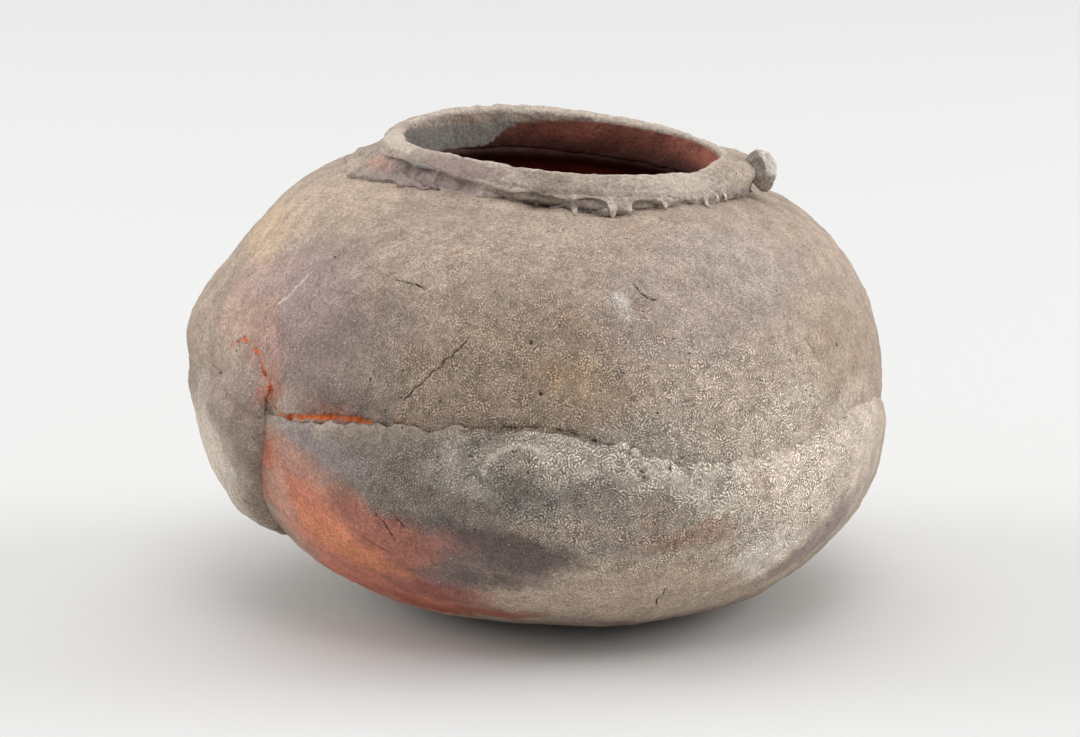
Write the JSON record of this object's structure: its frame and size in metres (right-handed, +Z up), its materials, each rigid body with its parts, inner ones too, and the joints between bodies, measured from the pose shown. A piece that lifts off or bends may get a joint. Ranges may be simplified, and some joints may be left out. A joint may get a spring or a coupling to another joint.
{
  "type": "stoneware jar",
  "caption": "Wide hand-built stoneware jar with a lapped belly seam, a side slab, a thumbed collar, a rolled rim and glaze runs; it stands on a small flat foot and holds dry or wet goods.",
  "frame": {"origin": "middle of the flat spot under the jar, on the surface that it stands on", "axes": "+Z up; -Y is the front seen in the picture, +X is its right, where the knob is"},
  "size_m": [0.3997, 0.389, 0.2707],
  "materials": {
    "flame_marked_clay": "rough wood-fired stoneware with orange flame marks and grey ash",
    "ash_grained_clay": "dry wood-fired stoneware with a fine worm-like ash grain",
    "bare_inner_clay": "bare red-brown stoneware",
    "grey_tan_clay": "dry grey-tan stoneware",
    "purple_grey_clay": "thumbed purple-grey stoneware",
    "slip_coated_clay": "stoneware under a pale worn slip",
    "pale_knob_clay": "rough pale stoneware",
    "ash_glaze": "pale running ash glaze"
  },
  "bodies": {
    "root": {"lower_bowl": "flame_marked_clay", "shoulder_bowl": "ash_grained_clay", "seam_coil": "bare_inner_clay", "side_slab": "grey_tan_clay", "collar_strip": "purple_grey_clay", "rim_coil": "slip_coated_clay", "rim_knob": "pale_knob_clay", "glaze_run_1": "ash_glaze", "glaze_run_2": "ash_glaze", "glaze_run_3": "ash_glaze", "glaze_run_4": "ash_glaze", "glaze_run_5": "ash_glaze", "glaze_run_6": "ash_glaze", "glaze_run_7": "ash_glaze"}
  },
  "joints": []
}
